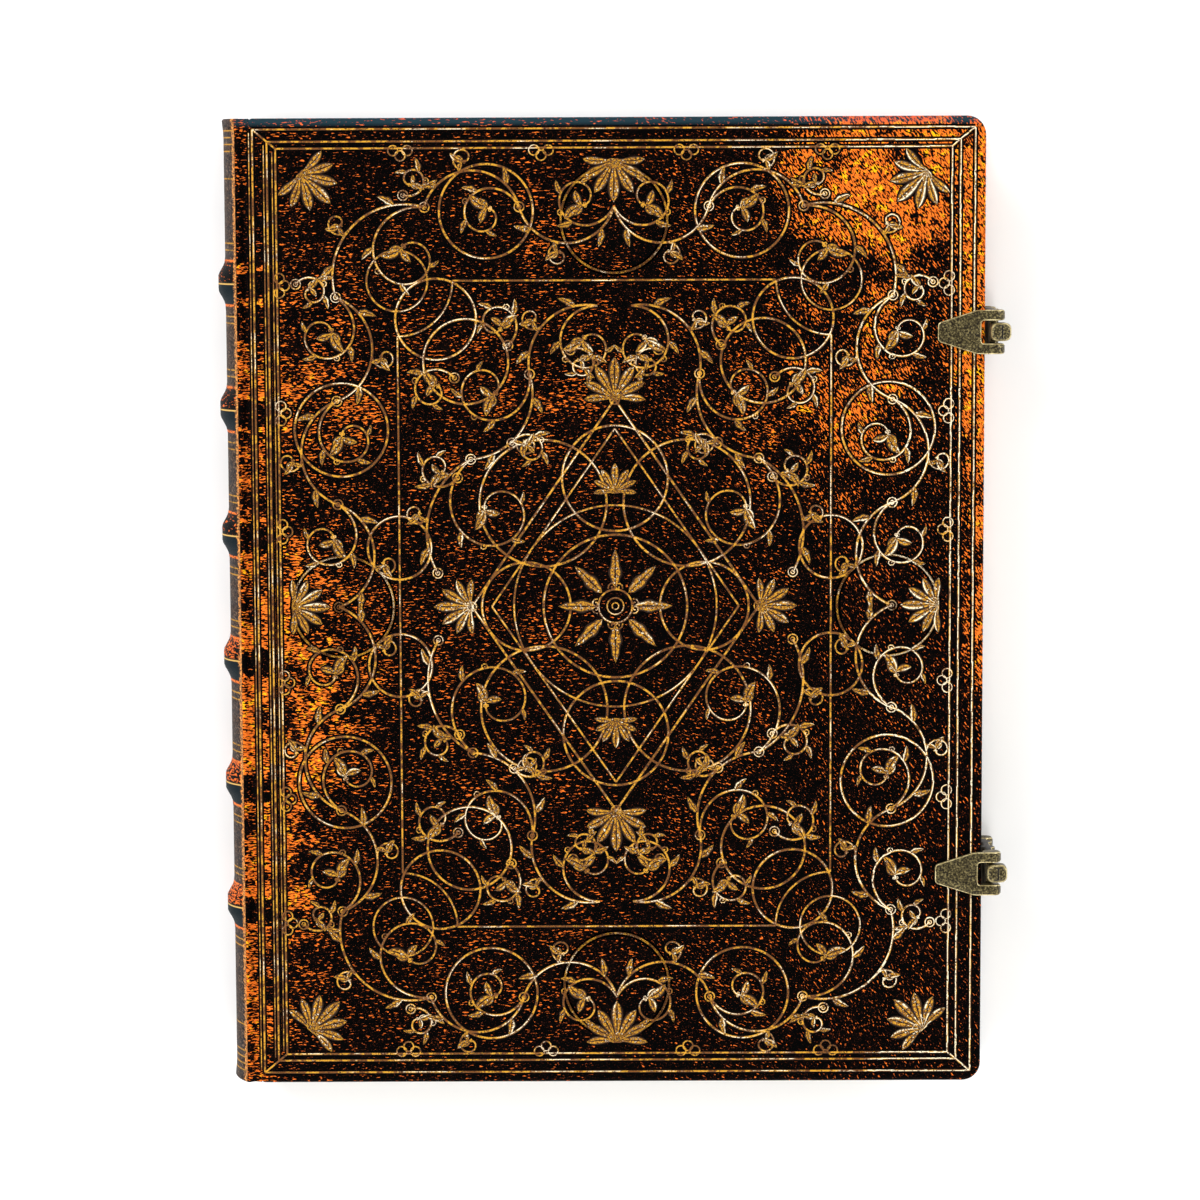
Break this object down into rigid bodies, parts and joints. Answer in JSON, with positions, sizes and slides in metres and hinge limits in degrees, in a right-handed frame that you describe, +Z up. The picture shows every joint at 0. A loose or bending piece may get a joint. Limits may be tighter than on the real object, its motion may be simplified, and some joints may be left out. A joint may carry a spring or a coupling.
{
  "type": "hardcover journal",
  "caption": "Large hardcover journal with a rounded spine, raised bands, gold-tooled crackled covers and hinged brass fore-edge clasps.",
  "frame": {"origin": "centre of the footprint of the closed journal, on the plane it lies on", "axes": "+X from the spine to the fore-edge, +Y to the head, +Z up through the front cover"},
  "size_m": [0.1876, 0.23, 0.0248],
  "materials": {
    "leather": "crackled near-black and orange, satin",
    "gold_foil": "aged gold foil, satin",
    "greyboard": "matte",
    "pages": "matte cream",
    "endpaper": "matte rust brown",
    "lining": "open cotton gauze",
    "headband": "worked silk",
    "antique_brass": "antique, speckled, satin"
  },
  "bodies": {
    "back_cover": {"back_board": "greyboard", "back_cover_skin": "leather", "back_pastedown": "endpaper", "back_tooling": "gold_foil", "upper_hinge_plate": "antique_brass", "lower_hinge_plate": "antique_brass", "upper_hinge_pin": "antique_brass", "lower_hinge_pin": "antique_brass"},
    "text_block": {"text_block": "pages", "front_flyleaf": "endpaper", "back_flyleaf": "endpaper", "spine_lining": "lining", "head_band": "headband", "tail_band": "headband", "spine_inlay": "greyboard", "spine_skin": "leather", "raised_band_1": "greyboard", "raised_band_2": "greyboard", "raised_band_3": "greyboard", "raised_band_4": "greyboard", "raised_band_5": "greyboard", "raised_band_6": "greyboard"},
    "front_cover": {"front_board": "greyboard", "front_cover_skin": "leather", "front_pastedown": "endpaper", "front_tooling": "gold_foil", "upper_catch_plate": "antique_brass", "lower_catch_plate": "antique_brass"},
    "upper_arm": {"upper_clasp_arm": "antique_brass"},
    "lower_arm": {"lower_clasp_arm": "antique_brass"}
  },
  "joints": [
    {"name": "back_hinge", "type": "hinge", "parent": "back_cover", "child": "text_block", "pos_m": [-0.08645, 0, 0.0015], "axis": [0, -1, 0], "range_deg": [0, 180]},
    {"name": "front_hinge", "type": "hinge", "parent": "text_block", "child": "front_cover", "pos_m": [-0.08645, 0, 0.0229], "axis": [0, -1, 0], "range_deg": [0, 180]},
    {"name": "upper_clasp", "type": "hinge", "parent": "back_cover", "child": "upper_arm", "pos_m": [0.09015, 0.0645, 0.0022], "axis": [0, 1, 0], "range_deg": [0, 110]},
    {"name": "lower_clasp", "type": "hinge", "parent": "back_cover", "child": "lower_arm", "pos_m": [0.09015, -0.0645, 0.0022], "axis": [0, 1, 0], "range_deg": [0, 110]}
  ]
}
